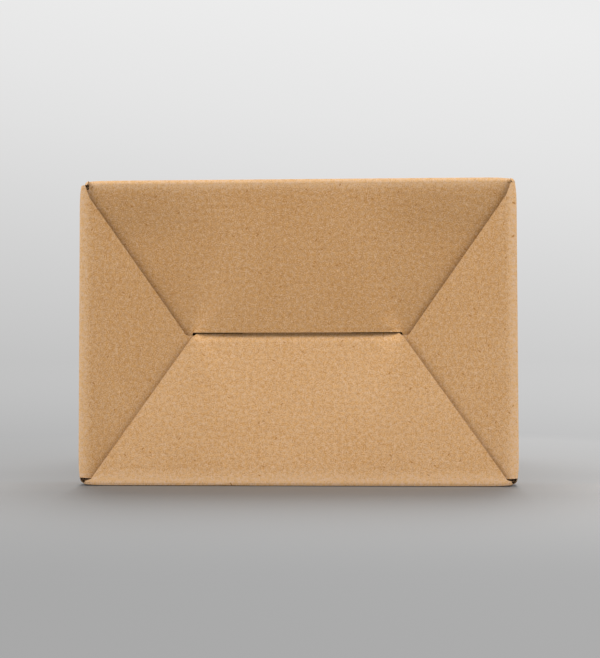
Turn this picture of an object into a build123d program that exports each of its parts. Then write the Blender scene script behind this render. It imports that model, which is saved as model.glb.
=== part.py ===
from build123d import *
import math
import os

# A folded corrugated box, lying on one of its wide walls. X runs across the box, Z is up, and Y runs
# from the interlocked bottom flaps at -Y to the tuck lid at +Y. The origin is under the box's middle.
# All sizes are in millimetres and degrees.

# Outside of the closed box.
WIDTH = 180.0
HEIGHT = 126.0
LENGTH = 140.0

# Corrugated board, its creases, and the air between boards that lie on each other.
BOARD = 1.5
CREASE_INSIDE = 0.4
LAYER_GAP = 0.25

# Bottom flaps. Their fold lines are stepped by one board, lower flap outermost, and they lean inwards.
LOWER_LEAN = 3.4
SIDE_LEAN = 4.5
UPPER_LEAN = 3.15
SLIT_LEVEL = 62.6
SLIT_GAP = 0.3
LOWER_CORNER = 5.2
LOWER_CHAMFER = 1.7
SIDE_REACH = 44.2
SIDE_STEP_DROP = 1.3
SIDE_STEP_DEPTH = 5.0
SIDE_STEP_HEIGHT = 10.0
SIDE_TOP_CORNER = 2.0
SIDE_FOOT = 2.6
SIDE_FOOT_RUN = 12.0
SIDE_ROUND = 1.2
LEG_SHOW = 2.3
LEG_DROP = 11.0
LEG_WIDTH = 17.0
UPPER_CORNER = 3.5
FLAP_ROUND = 2.0

# Tongue of the lower flap, tucked behind the upper flap's recess.
TONGUE_LENGTH = 15.0
TONGUE_MARGIN = 21.0
TONGUE_ROUND = 6.0
TONGUE_DIP = 2.9
DIP_RUN = 56.0
SHOULDER_INSET = 1.5

# Glued seam at the upper left edge: the upper wall's tab lies inside the left wall.
SEAM_TAB = 25.0
SEAM_EDGE = 1.0
SEAM_SETBACK = 6.0
SEAM_LIP = 1.5

# Tuck lid hinged on the upper wall, and the dust flaps behind it.
LID_SIDE_GAP = 1.0
LID_HINGE_GAP = 0.1
LID_FOOT_GAP = 0.35
TUCK_LENGTH = 20.0
TUCK_SIDE_GAP = 6.0
TUCK_ROUND = 9.0
TUCK_SPARE_LEAN = 0.6
WALL_REVEAL = 0.3
DUST_LENGTH = 46.0
DUST_FOOT = 10.0
DUST_TAPER = 7.0
DUST_ROUND = 8.0
DUST_LEAN = 3.0

# Values worked out from the sizes above.
CREASE_OUTSIDE = CREASE_INSIDE + BOARD
LAYER = BOARD + LAYER_GAP
BOTTOM = -LENGTH / 2
TOP = LENGTH / 2
LOWER_FOLD = BOTTOM + CREASE_OUTSIDE
SIDE_FOLD = LOWER_FOLD + LAYER
UPPER_FOLD = SIDE_FOLD + LAYER
DUST_FOLD = TOP - LAYER - CREASE_OUTSIDE
LID_FOLD = TOP - CREASE_OUTSIDE
TIP_X = WIDTH / 2 - SIDE_REACH
RECESS_HALF = TIP_X - LEG_SHOW
SHOULDER_HALF = RECESS_HALF - SHOULDER_INSET
TONGUE_HALF = RECESS_HALF - TONGUE_MARGIN


def rise(lean):
    """Inward travel of a flap per unit of its reach."""
    return math.sin(math.radians(lean))


def board_plate(points, radii=0.0):
    """Flat board on the XY plane with its outer face down, from outline corners and their radii."""
    outline = FilletPolyline(*points, radius=radii, close=True)
    return extrude(make_face(outline), amount=BOARD, dir=(0, 0, 1))


def bend(flat, across_low, across_high, fold_y, end, lean):
    """Fold a flat board that runs on from a wall at fold_y towards end (-1 or +1), crease included."""
    axis = Axis((0, fold_y, CREASE_OUTSIDE), (end, 0, 0))
    turn = 90 + lean
    middle = ((across_low + across_high) / 2, fold_y, BOARD / 2)
    end_plane = Plane(origin=middle, x_dir=(1, 0, 0), z_dir=(0, -1, 0))
    section = end_plane * Rectangle(across_high - across_low, BOARD)
    crease = revolve(section, axis=axis, revolution_arc=turn)
    return crease + flat.rotate(axis, turn)


def band(left, right, y, left_depth, right_depth):
    """Closed edge loop of one board across X at y, easing from one depth to another."""
    flat_ends = [(1, 0, 0), (1, 0, 0)]
    outer = Edge.make_spline([(left, y, left_depth), (right, y, right_depth)], tangents=flat_ends)
    if left_depth == right_depth:
        outer = Edge.make_line((left, y, left_depth), (right, y, right_depth))
    inner = outer.moved(Pos(0, 0, BOARD))
    left_end = Edge.make_line(outer @ 0, inner @ 0)
    right_end = Edge.make_line(outer @ 1, inner @ 1)
    return Wire([outer, right_end, inner, left_end])


def eased_sheet(plateau, edge, start_y, end_y, depth):
    """Board between -edge and +edge that is flat at start_y and pressed to a depth at end_y."""
    spans = [(-edge, -plateau, 0, depth), (-plateau, plateau, depth, depth), (plateau, edge, depth, 0)]
    sheet = Part()
    for left, right, left_depth, right_depth in spans:
        start = band(left, right, start_y, 0, 0)
        end = band(left, right, end_y, left_depth, right_depth)
        sheet += Solid.make_loft([start, end], ruled=True)
    return sheet


def to_upper_wall(shape):
    """Turn a shape modelled on the lower wall over to the upper wall."""
    return Pos(0, 0, HEIGHT) * Rot(0, 180, 0) * shape


def to_right_wall(shape):
    """Turn a shape modelled on the lower wall to the right wall, its X axis then running up."""
    return Pos(WIDTH / 2, 0, HEIGHT / 2) * Rot(0, -90, 0) * shape


def both_sides(shape):
    """A right-hand shape and its mirror image on the left."""
    return shape + mirror(shape, about=Plane.YZ)


def wall_ring(left):
    """Section of the folded wall band whose left outer face lies at left."""
    width = WIDTH / 2 - left
    centre = Pos((WIDTH / 2 + left) / 2, HEIGHT / 2)
    outer = centre * RectangleRounded(width, HEIGHT, CREASE_OUTSIDE)
    inner = centre * RectangleRounded(width - 2 * BOARD, HEIGHT - 2 * BOARD, CREASE_INSIDE)
    return outer - inner


def on_corner(width, height, low_x, low_z):
    """Rectangle on the wall section from its lowest corner."""
    return Pos(low_x + width / 2, low_z + height / 2) * Rectangle(width, height)


def wall_section():
    """Four walls with the glued seam: the left wall's raw edge stands beside the upper fold."""
    left = -WIDTH / 2
    tab_low = HEIGHT - SEAM_TAB
    seam_corner = on_corner(SEAM_TAB, SEAM_TAB, left, tab_low)
    left_wall_end = on_corner(BOARD, SEAM_TAB - SEAM_EDGE, left, tab_low)
    return wall_ring(left) - seam_corner + (wall_ring(left + BOARD) & seam_corner) + left_wall_end


def wall_strip(half_width, low_y, high_y):
    """Length of the lower wall's board between two places along Y."""
    middle = Pos(0, (low_y + high_y) / 2, BOARD / 2)
    return middle * Box(2 * half_width, high_y - low_y, BOARD)


def walls():
    """Wall tube between the fold lines of its flaps."""
    length = DUST_FOLD - SIDE_FOLD
    start = Plane(origin=(0, SIDE_FOLD, 0), x_dir=(1, 0, 0), z_dir=(0, -1, 0))
    tube = extrude(start * wall_section(), amount=length, dir=(0, 1, 0))
    cut_top = HEIGHT - CREASE_OUTSIDE - SEAM_LIP
    cut_height = cut_top - (HEIGHT - SEAM_TAB)
    tab_x = -WIDTH / 2 + 1.5 * BOARD
    for y in (SIDE_FOLD + SEAM_SETBACK / 2, DUST_FOLD - SEAM_SETBACK / 2):
        tube -= Pos(tab_x, y, cut_top - cut_height / 2) * Box(BOARD, SEAM_SETBACK, cut_height)
    tube -= to_upper_wall(wall_strip(WIDTH / 2 - UPPER_CORNER, SIDE_FOLD, UPPER_FOLD))
    tube += wall_strip(WIDTH / 2 - LOWER_CORNER, LOWER_FOLD, SIDE_FOLD)
    tube += wall_strip(WIDTH / 2 - CREASE_OUTSIDE, DUST_FOLD, TOP - WALL_REVEAL)
    lid_half = WIDTH / 2 - CREASE_OUTSIDE - LID_SIDE_GAP
    tube += to_upper_wall(wall_strip(lid_half, DUST_FOLD, LID_FOLD - LID_HINGE_GAP))
    return tube


def lower_flap():
    """Outermost flap: slanted sides, a middle that dips, and the tongue behind the slit."""
    hinge_half = WIDTH / 2 - LOWER_CORNER
    edge = SLIT_LEVEL - SLIT_GAP - CREASE_OUTSIDE
    dip_start = edge - DIP_RUN
    side = (
        (hinge_half, LOWER_FOLD),
        (SHOULDER_HALF + LOWER_CHAMFER, LOWER_FOLD - edge + LOWER_CHAMFER),
        (SHOULDER_HALF, LOWER_FOLD - edge),
        (SHOULDER_HALF, LOWER_FOLD - dip_start),
    )
    flat = board_plate(side + tuple((-x, y) for x, y in reversed(side)))
    root_y = LOWER_FOLD - edge
    tip_y = root_y - TONGUE_LENGTH
    flat += eased_sheet(TONGUE_HALF, SHOULDER_HALF, LOWER_FOLD - dip_start, root_y, TONGUE_DIP)
    tongue_corners = (
        (-TONGUE_HALF, root_y),
        (TONGUE_HALF, root_y),
        (TONGUE_HALF, tip_y),
        (-TONGUE_HALF, tip_y),
    )
    tongue = board_plate(tongue_corners, (0, 0, TONGUE_ROUND, TONGUE_ROUND))
    flat += Pos(0, 0, TONGUE_DIP) * tongue
    return bend(flat, -hinge_half, hinge_half, LOWER_FOLD, -1, LOWER_LEAN)


def side_flap():
    """Right-hand flap under the lower flap and over the upper one, with a stepped tip."""
    hinge_low = SIDE_FOOT - HEIGHT / 2
    hinge_high = HEIGHT / 2 - SIDE_TOP_CORNER
    tip_level = SLIT_LEVEL - SIDE_STEP_DROP - HEIGHT / 2
    reach = SIDE_FOLD - SIDE_REACH + CREASE_OUTSIDE
    corners = (
        (hinge_low, SIDE_FOLD),
        (hinge_high, SIDE_FOLD),
        (tip_level, reach),
        (tip_level, reach - SIDE_STEP_DEPTH),
        (tip_level - SIDE_STEP_HEIGHT, reach - SIDE_STEP_DEPTH),
        (hinge_low, SIDE_FOLD - SIDE_FOOT_RUN),
    )
    radii = (0, 0, SIDE_ROUND, SIDE_ROUND, FLAP_ROUND, FLAP_ROUND)
    flat = board_plate(corners, radii)
    return to_right_wall(bend(flat, hinge_low, hinge_high, SIDE_FOLD, -1, SIDE_LEAN))


def upper_flap():
    """Innermost flap: as wide as the inside, with a recess edge that bows out over the tongue."""
    hinge_half = WIDTH / 2 - UPPER_CORNER
    ear_half = WIDTH / 2 - LAYER
    edge = HEIGHT - SLIT_LEVEL - CREASE_OUTSIDE
    leg_end = UPPER_FOLD - edge - LEG_DROP
    flat_depth = UPPER_FOLD - LOWER_FOLD + edge * rise(UPPER_LEAN)
    tongue_depth = (SLIT_LEVEL - CREASE_OUTSIDE) * rise(LOWER_LEAN) + TONGUE_DIP
    bow = flat_depth + LAYER - tongue_depth
    leg_corners = (
        (RECESS_HALF, UPPER_FOLD),
        (ear_half, UPPER_FOLD),
        (RECESS_HALF + LEG_WIDTH, leg_end),
        (RECESS_HALF, leg_end),
    )
    flat = both_sides(board_plate(leg_corners, (0, 0, FLAP_ROUND, FLAP_ROUND)))
    lip_room = SEAM_LIP + LAYER_GAP
    lip_middle = Pos((hinge_half + ear_half) / 2, UPPER_FOLD - lip_room / 2, BOARD / 2)
    flat -= lip_middle * Box(ear_half - hinge_half, lip_room, BOARD)
    plateau = TONGUE_HALF + FLAP_ROUND
    flat += eased_sheet(plateau, RECESS_HALF, UPPER_FOLD, UPPER_FOLD - edge, -bow)
    return to_upper_wall(bend(flat, -hinge_half, hinge_half, UPPER_FOLD, -1, UPPER_LEAN))


def dust_flap():
    """Right-hand dust flap, folded in behind the lid and clear of its tuck."""
    hinge_half = HEIGHT / 2 - DUST_FOOT
    tip = DUST_FOLD + DUST_LENGTH - CREASE_OUTSIDE
    corners = (
        (-hinge_half, DUST_FOLD),
        (hinge_half, DUST_FOLD),
        (hinge_half - DUST_TAPER, tip),
        (DUST_TAPER - hinge_half, tip),
    )
    flat = board_plate(corners, (0, 0, DUST_ROUND, DUST_ROUND))
    return to_right_wall(bend(flat, -hinge_half, hinge_half, DUST_FOLD, 1, DUST_LEAN))


def box_body():
    """The whole blank except the lid: walls, seam, interlocked bottom and dust flaps."""
    return walls() + lower_flap() + both_sides(side_flap()) + upper_flap() + both_sides(dust_flap())


def tuck_lid():
    """Lid panel folded down from the upper wall, with its tuck leaning in to swing past the lower wall."""
    lid_half = WIDTH / 2 - CREASE_OUTSIDE - LID_SIDE_GAP
    drop = HEIGHT - BOARD - LID_FOOT_GAP
    tuck_fold = LID_FOLD + drop - 2 * CREASE_OUTSIDE
    panel = wall_strip(lid_half, LID_FOLD, tuck_fold)
    tuck_half = lid_half - TUCK_SIDE_GAP
    tuck_end = tuck_fold + TUCK_LENGTH
    tuck_corners = (
        (-tuck_half, tuck_fold),
        (tuck_half, tuck_fold),
        (tuck_half, tuck_end),
        (-tuck_half, tuck_end),
    )
    tuck = board_plate(tuck_corners, (0, 0, TUCK_ROUND, TUCK_ROUND))
    lean = math.degrees(math.asin(TUCK_LENGTH / (2 * drop))) + TUCK_SPARE_LEAN
    panel += bend(tuck, -tuck_half, tuck_half, tuck_fold, 1, lean)
    return to_upper_wall(bend(panel, -lid_half, lid_half, LID_FOLD, 1, 0))


NODES = {"box_body": box_body, "tuck_lid": tuck_lid}

os.makedirs("parts", exist_ok=True)
for name, make in NODES.items():
    export_step(make(), f"parts/{name}.step")
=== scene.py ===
import math

import bmesh
import bpy
import numpy as np
from mathutils import Matrix, Vector


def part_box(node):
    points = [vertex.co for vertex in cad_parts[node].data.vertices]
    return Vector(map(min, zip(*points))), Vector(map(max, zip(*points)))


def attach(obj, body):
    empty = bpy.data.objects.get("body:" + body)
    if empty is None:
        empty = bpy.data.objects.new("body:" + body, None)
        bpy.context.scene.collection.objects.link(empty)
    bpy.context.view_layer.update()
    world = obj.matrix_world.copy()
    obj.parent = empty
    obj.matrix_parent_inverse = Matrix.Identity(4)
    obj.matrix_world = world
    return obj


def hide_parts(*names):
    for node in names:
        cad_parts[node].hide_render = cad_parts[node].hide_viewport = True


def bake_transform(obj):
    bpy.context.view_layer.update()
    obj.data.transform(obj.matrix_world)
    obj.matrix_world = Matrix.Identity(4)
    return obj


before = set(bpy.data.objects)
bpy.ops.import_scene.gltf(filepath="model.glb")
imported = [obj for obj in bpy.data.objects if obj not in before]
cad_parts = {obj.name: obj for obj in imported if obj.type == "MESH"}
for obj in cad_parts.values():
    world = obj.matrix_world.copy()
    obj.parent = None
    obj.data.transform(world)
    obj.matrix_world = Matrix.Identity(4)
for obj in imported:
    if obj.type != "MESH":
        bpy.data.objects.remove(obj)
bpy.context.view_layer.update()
body_low, body_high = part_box("box_body")
_, lid_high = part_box("tuck_lid")

# Lengths are in metres unless a comment says otherwise. The outside of the box comes from the frame.
MM = 0.001
WIDTH = body_high.x - body_low.x
HEIGHT = body_high.z
BOTTOM = body_low.y
TOP = lid_high.y

# Corrugated board, its creases and the air between layers, as in the solids.
BOARD = 1.5 * MM
CREASE_INSIDE = 0.4 * MM
CREASE_MIDDLE = CREASE_INSIDE + BOARD / 2
CREASE_OUTSIDE = CREASE_INSIDE + BOARD
LAYER_GAP = 0.25 * MM
LAYER = BOARD + LAYER_GAP

# Liners, and the fluted paper between them, which is shaped only along the cut edges.
LINER = 0.28 * MM
MEDIUM = 0.18 * MM
FLUTE_PITCH = 3.3 * MM
FLUTE_HEIGHT = BOARD / 2 - LINER - MEDIUM / 2
FLUTE_STEP = FLUTE_PITCH / 8
FLUTE_REACH = 3.0 * MM
FLUTE_REACH_SHARE = 0.49
FLUTE_JUMP = 2.5 * MM
FLUTE_ROWS = 3

# Slit between the lower and the upper bottom flap, and the round of the flaps' hidden corners.
SLIT_LEVEL = 62.6 * MM
SLIT_GAP = 0.3 * MM
FLAP_ROUND = 2.0 * MM

# Lower bottom flap: its cut, its tongue, and how it dips inwards towards the slit.
LOWER_LEAN = math.radians(3.4)
LOWER_SQUARENESS = 5
LOWER_CORNER = 5.2 * MM
LOWER_CHAMFER = 1.7 * MM
LOWER_LEFT_TRIM = 0.6 * MM
LOWER_WING = 2.7 * MM
WING_EASE = 0.6 * MM
WING_ROUND = 0.4 * MM
SHOULDER_INSET = 1.5 * MM
SHOULDER_ROUND = 0.6 * MM
TONGUE_LENGTH = 15.0 * MM
TONGUE_MARGIN = 21.0 * MM
TONGUE_ROUND = 6.0 * MM
TONGUE_DIP = 2.9 * MM
TONGUE_BEND = 0.8 * MM
BEND_RUN = 3.5 * MM
DIP_RUN = 56.0 * MM
DIP_SPREAD = 18.0 * MM
DIP_END = 22.0 * MM

# Side bottom flaps: foot, stepped tip, slanted cut with a kink near its top, and how far they sink.
SIDE_LEAN = math.radians(4.5)
SIDE_REACH = 44.2 * MM
SIDE_FOOT = 2.6 * MM
SIDE_FOOT_RUN = 12.0 * MM
SIDE_STEP_DROP = 1.3 * MM
SIDE_STEP_DEPTH = 5.0 * MM
SIDE_STEP_HEIGHT = 10.0 * MM
SIDE_TIP_ROUND = 1.2 * MM
SIDE_TOP_CORNER = 2.0 * MM
SIDE_TOP_FALL = 5.9 * MM
SIDE_TOP_RUN = 2.5 * MM
SIDE_TOP_ROUND = 0.6 * MM
SIDE_SINK = 1.0 * MM
SIDE_SINK_RUN = 12.0 * MM

# Upper bottom flap: its legs beside the recess, its bow over the tongue, and how far its sides sink.
UPPER_LEAN = math.radians(3.15)
UPPER_CORNER = 3.5 * MM
LEG_SHOW = 2.3 * MM
LEG_DROP = 11.0 * MM
LEG_WIDTH = 17.0 * MM
RECESS_ROUND = 0.8 * MM
BOW_SPREAD = 18.0 * MM
BOW_MARGIN = 1.5 * MM
UPPER_SINK = 1.9 * MM
UPPER_SINK_RUN = 25.0 * MM
UPPER_SINK_SPREAD = 45.0 * MM

# The dip and the bow widen with this power of the way to the slit.
EDGE_TIGHTENING = 4

# Corners of the interlocked end: caps on the creases, and how far the folds pull the board in.
CORNER_LIP = 1.5 * MM
CORNER_EASE = 0.05 * MM
PINCH = 0.7 * MM
PINCH_SPREAD = 5.0 * MM
PINCH_RUN = 14.0 * MM

# Glued seam: a tab of the upper wall inside the left wall, which ends in a raw edge below the crease.
SEAM_TAB = 25.0 * MM
SEAM_EDGE = 1.0 * MM
SEAM_LIP = 1.5 * MM
SEAM_SETBACK = 6.0 * MM
SEAM_TAPER = 2.0 * MM
SEAM_EASE = 3.0 * MM

# Tuck lid and dust flaps at the far end.
LID_SIDE_GAP = 1.0 * MM
LID_FOOT_GAP = 0.35 * MM
LID_ROUND = 1.0 * MM
TUCK_LENGTH = 20.0 * MM
TUCK_SIDE_GAP = 6.0 * MM
TUCK_SPARE_LEAN = math.radians(0.6)
TUCK_ROUND = 9.0 * MM
WALL_REVEAL = 0.3 * MM
REVEAL_ROUND = 1.0 * MM
DUST_LENGTH = 46.0 * MM
DUST_FOOT = 10.0 * MM
DUST_TAPER = 7.0 * MM
DUST_ROUND = 8.0 * MM
DUST_LEAN = math.radians(3.0)

# How finely the blank is divided: evenly over the walls and flaps, and closer at creases and slopes.
COLUMN_STEP = 5.0 * MM
ROW_STEP = 6.0 * MM
FLAP_STEP = 4.0 * MM
SLOPE_STEP = 0.8 * MM
BESIDE_CREASE = 1.4 * MM
FLAP_SPAN = 80.0 * MM
DUST_SPAN = 60.0 * MM
CREASE_STEPS = np.linspace(0, 1, 5)
ROUND_STEPS = np.linspace(0, 1, 5)
CUT_TOLERANCE = 1e-8
TINY = 0.001 * MM

# Kraft liner, in linear colours: its tones from dark to light, and the tints that vary them.
KRAFT_DARK = (0.410, 0.192, 0.058)
KRAFT = (0.540, 0.304, 0.128)
KRAFT_LIGHT = (0.665, 0.425, 0.235)
KRAFT_WARM = (0.99, 0.93, 0.76)
KRAFT_COOL = (0.99, 1.05, 1.22)
MIDDLE_TONE = 0.5

# Painted light on the bottom flaps: how much paler the other flaps are painted than the upper one, with
# more at the side flaps' lower ends.
LOWER_PAINTED_LIGHT = 0.15
RIGHT_PAINTED_LIGHT = 0.062
LEFT_PAINTED_LIGHT = 0.008
LOW_END_PAINTED_LIGHT = 0.09
LOW_RUN = 75.0 * MM
PAINTED_LIGHT_GAIN = 0.6

# Textures of the liner: their sizes in millimetres, and their weights in its tone.
GRAIN_SIZE = 0.45
GRAIN_WEIGHT = 1.9
MOTTLE_SIZE = 1.5
MOTTLE_WEIGHT = 0.8
CLOUD_SIZE = 28.0
CLOUD_DETAIL = 3.0
CLOUD_WEIGHT = 0.25
NOISE_MIDDLE = 0.5
FLUTE_WEIGHT = 0.012
WEAR_WEIGHT = 0.42
WEAR_SPREAD = 2.2 * MM
TINT_SIZES = (0.6, 1.4)
TINT_RANGE = (0.72, 1.28)

# Fibres: angles in radians, length and width in millimetres, and the range of noise that shows one.
FIBRE_TURNS = (0.3, 1.1, 1.9, 2.7)
FIBRE_RANGE = (0.62, 0.74)
DARK_FIBRE = (2.6, 0.30)
DARK_FIBRE_SHIFT = 17.0
DARK_FIBRE_WEIGHT = -0.30
PALE_FIBRE = (2.2, 0.26)
PALE_FIBRE_TURN = 0.4
PALE_FIBRE_START = 40.0
PALE_FIBRE_SHIFT = 13.0
PALE_FIBRE_WEIGHT = 0.26

# Specks: spacing and size in millimetres, share of the cells with one, angle in radians, and weight.
FLECKS = (
    (3.6, 0.29, 0.10, 0.5, -1.1),
    (5.0, 0.34, 0.10, 2.2, -0.9),
    (7.0, 0.38, 0.07, 1.4, 0.4),
)
FLECK_STRETCH = 2.4
FLECK_CORE = 0.5

# Relief and gloss of the liner.
GRAIN_RELIEF = 0.5
MOTTLE_RELIEF = 0.7
FLUTE_RELIEF = 0.10
KRAFT_BUMP = 0.45
KRAFT_BUMP_HEIGHT = 0.06 * MM
MOTTLE_RANGE = (0.2, 0.8)
KRAFT_ROUGHNESS = (0.68, 0.86)
PAPER_SPECULAR = 0.2

# Raw cut edge: its tones, partly the edge's own darker colour and partly painted shade for the dark lines
# where flaps overlap, and the size of its fuzz in millimetres.
RAW_EDGE_TONES = (
    (0.25, (0.17, 0.10, 0.048)),
    (0.55, (0.30, 0.185, 0.092)),
    (0.8, (0.50, 0.36, 0.22)),
)
FUZZ_SIZE = 0.4
FUZZ_DETAIL = 3.0
RAW_EDGE_BUMP = 0.6
RAW_EDGE_BUMP_HEIGHT = 0.1 * MM
RAW_EDGE_ROUGHNESS = 0.9

# Floor: greys behind and in front of the box's end, and the share of the background that it takes on.
FLOOR_HALF = 30.0
FLOOR_GREY = 0.33
FLOOR_FRONT_GREY = 0.39
FLOOR_RUN = 0.05
FLOOR_TILT = 0.15
FLOOR_ASIDE = 0.25
FLOOR_ROUGHNESS = 0.95
FLOOR_SPECULAR = 0.1
# Painted shade: the background that the floor takes on grows darker towards the foreground.
FOREGROUND_PAINTED_SHADE = 0.19
FOREGROUND = (0.0, -0.35, 0.0)
FOREGROUND_SPREAD = 0.5
BESIDE_RUN = 0.02
# Painted light: beside and behind the box the floor takes on at least this share of the background's glow,
# which lifts the box's shadow there.
BESIDE_SHARE = 0.62
NEAR_TILT = 0.4
FAR_START = 0.03
FAR_END = 0.18

# Background and dome: greys from low to high.
BACKGROUND_TILT = 0.14
BACKGROUND_RAISE = 0.2
BACKGROUND = (
    (0.0, 0.39),
    (0.1, 0.49),
    (0.2, 0.584),
    (0.3175, 0.69),
    (0.384, 0.753),
    (0.43, 0.787),
    (0.527, 0.841),
    (1.0, 0.9),
)
DOME = ((0.0, 0.35), (0.35, 0.5), (1.0, 0.75))

# Lamps: name, place, size and power in watts. One lights the floor, and three light the board.
FLOOR_LAMP = ("overhead", (0.0, 0.60, 1.05), (0.9, 1.0), 18.0)
BOARD_LAMPS = (
    ("left", (-0.9, -0.52, 0.80), (0.6, 0.6), 11.0),
    ("right", (0.9, -0.52, 0.80), (0.6, 0.6), 9.6),
    ("back", (0.0, 1.2, 0.35), (0.8, 0.4), 7.0),
)

# Camera: image width and focal length in pixels, sensor width in millimetres, place and turns.
IMAGE_WIDTH = 600
FOCAL_PIXELS = 1024
SENSOR_WIDTH = 36.0
CLIP_START = 0.01
CAMERA_PLACE = (0.0174, -0.486, 0.0508)
CAMERA_YAW = math.radians(2.19)
CAMERA_PITCH = math.radians(1.78)
CAMERA_ROLL = math.radians(-0.11)


def turn_length(lean):
    """Length of a crease that turns a flap by a right angle and its lean."""
    return CREASE_MIDDLE * (math.pi / 2 + lean)


# Fold lines along Y and the slit's widths.
LOWER_FOLD = BOTTOM + CREASE_OUTSIDE
SIDE_FOLD = LOWER_FOLD + LAYER
UPPER_FOLD = SIDE_FOLD + LAYER
DUST_FOLD = TOP - LAYER - CREASE_OUTSIDE
LID_FOLD = TOP - CREASE_OUTSIDE
RECESS_HALF = WIDTH / 2 - SIDE_REACH - LEG_SHOW
SHOULDER_HALF = RECESS_HALF - SHOULDER_INSET
TONGUE_HALF = RECESS_HALF - TONGUE_MARGIN
LOWER_EDGE = SLIT_LEVEL - SLIT_GAP - CREASE_OUTSIDE
UPPER_EDGE = HEIGHT - SLIT_LEVEL - CREASE_OUTSIDE

# Flat widths between creases, and the lid's lengths along the blank.
INNER_HALF = WIDTH / 2 - CREASE_OUTSIDE
LID_HALF = INNER_HALF - LID_SIDE_GAP
LID_DROP = HEIGHT - BOARD - LID_FOOT_GAP
PANEL_LENGTH = LID_DROP - 2 * CREASE_OUTSIDE
TUCK_LEAN = math.asin(TUCK_LENGTH / (2 * LID_DROP)) + TUCK_SPARE_LEAN
LID_TURN = turn_length(0)
TUCK_FOLD = LID_FOLD + LID_TURN + PANEL_LENGTH
TUCK_TURN = turn_length(TUCK_LEAN)

# Blank coordinates: p runs round the walls from the left wall's raw edge to the tab, s runs along Y.
QUARTER = CREASE_MIDDLE * math.pi / 2
P_LEFT = HEIGHT - SEAM_EDGE - CREASE_OUTSIDE
P_LOWER = P_LEFT + QUARTER
P_LOWER_MIDDLE = P_LOWER + WIDTH / 2 - CREASE_OUTSIDE
P_LOWER_END = P_LOWER + WIDTH - 2 * CREASE_OUTSIDE
P_RIGHT = P_LOWER_END + QUARTER
P_RIGHT_END = P_RIGHT + HEIGHT - 2 * CREASE_OUTSIDE
P_UPPER = P_RIGHT_END + QUARTER
P_UPPER_MIDDLE = P_UPPER + WIDTH / 2 - CREASE_OUTSIDE
P_UPPER_END = P_UPPER + WIDTH - BOARD - 2 * CREASE_OUTSIDE
P_TAB = P_UPPER_END + QUARTER
P_END = P_TAB + SEAM_TAB - CREASE_OUTSIDE
WALLS = (
    (0, P_LEFT),
    (P_LOWER, P_LOWER_END),
    (P_RIGHT, P_RIGHT_END),
    (P_UPPER, P_UPPER_END),
    (P_TAB, P_END),
)
WALL_CREASES = (P_LEFT, P_LOWER_END, P_RIGHT_END, P_UPPER_END)


def smooth(t):
    """Smooth step from 0 to 1 as t goes from 0 to 1."""
    t = np.clip(t, 0, 1)
    return t * t * (3 - 2 * t)


def eased(u, plateau, edge):
    """One across the plateau, easing to nothing at the edge."""
    return smooth((edge - np.abs(u)) / (edge - plateau))


def lower_press(u, reach):
    """How far the lower flap dips inwards at the slit, where its tongue bends off under the upper flap."""
    run = np.clip((reach - (LOWER_EDGE - DIP_RUN)) / DIP_RUN, 0, 1)
    bend = smooth((reach - LOWER_EDGE + BEND_RUN) / BEND_RUN)
    across = eased(u, TONGUE_HALF + DIP_SPREAD * run ** EDGE_TIGHTENING, TONGUE_HALF + DIP_END)
    dip = (TONGUE_DIP - TONGUE_BEND) * run * across
    return dip + TONGUE_BEND * bend * eased(u, TONGUE_HALF + DIP_SPREAD, TONGUE_HALF + DIP_END)


def upper_press(u, reach):
    """How far the upper flap sinks at its sides, less its bow outwards over the tongue."""
    flat_depth = UPPER_FOLD - LOWER_FOLD + UPPER_EDGE * math.sin(UPPER_LEAN)
    tongue_depth = (SLIT_LEVEL - CREASE_OUTSIDE) * math.sin(LOWER_LEAN) + TONGUE_DIP
    bow = flat_depth + LAYER - tongue_depth
    run = np.clip(reach / UPPER_EDGE, 0, 1)
    over_tongue = eased(u, TONGUE_HALF + BOW_SPREAD * run ** EDGE_TIGHTENING, RECESS_HALF + BOW_MARGIN)
    to_side = smooth((np.abs(u) - TONGUE_HALF) / UPPER_SINK_SPREAD)
    return UPPER_SINK * to_side * smooth(reach / UPPER_SINK_RUN) - bow * over_tongue * run


def side_press(u, reach):
    """How far a side flap sinks away from the lower flap's edge, the same all across it."""
    return SIDE_SINK * smooth(reach / SIDE_SINK_RUN)


def no_press(u, reach):
    """A flap that stays flat."""
    return 0 * u


def fold_end(u, s, depth, fold, end, lean, press, squareness=2):
    """Wall-frame (along, inward) place of a flap point beyond its fold, as the board bends.

    The crease is an arc at a squareness of 2, and closer to a square edge above it.
    """
    arc = turn_length(lean)
    travel = np.maximum((s - fold) * end, 0)
    turn = np.minimum(travel, arc) / CREASE_MIDDLE
    straight = np.maximum(travel - arc, 0)
    spread = np.abs(np.cos(turn)) ** squareness + np.abs(np.sin(turn)) ** squareness
    on_crease = (CREASE_OUTSIDE - depth) * spread ** (-1 / squareness)
    radius = np.where(straight > 0, CREASE_OUTSIDE - depth - press(u, straight), on_crease)
    out = radius * np.sin(turn) + straight * np.cos(turn)
    inward = CREASE_OUTSIDE - radius * np.cos(turn) + straight * np.sin(turn)
    along = np.where(travel > 0, fold + end * out, s)
    return along, np.where(travel > 0, inward, depth)


def wall_place(u, s, depth, bottom, top=None):
    """Wall-frame place of a point that may lie on the wall, its bottom flap or its top flap."""
    along, inward = fold_end(u, s, depth, *bottom)
    if top is None:
        return along, inward
    top_along, top_inward = fold_end(u, s, depth, *top)
    beyond = s > top[0]
    return np.where(beyond, top_along, along), np.where(beyond, top_inward, inward)


# Flaps: fold line, end of the box, lean, press and, where it isn't an arc, squareness of the crease.
SIDE_BOTTOM = (SIDE_FOLD, -1, SIDE_LEAN, side_press)
LOWER_BOTTOM = (LOWER_FOLD, -1, LOWER_LEAN, lower_press, LOWER_SQUARENESS)
UPPER_BOTTOM = (UPPER_FOLD, -1, UPPER_LEAN, upper_press)
DUST_TOP = (DUST_FOLD, 1, DUST_LEAN, no_press)


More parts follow.
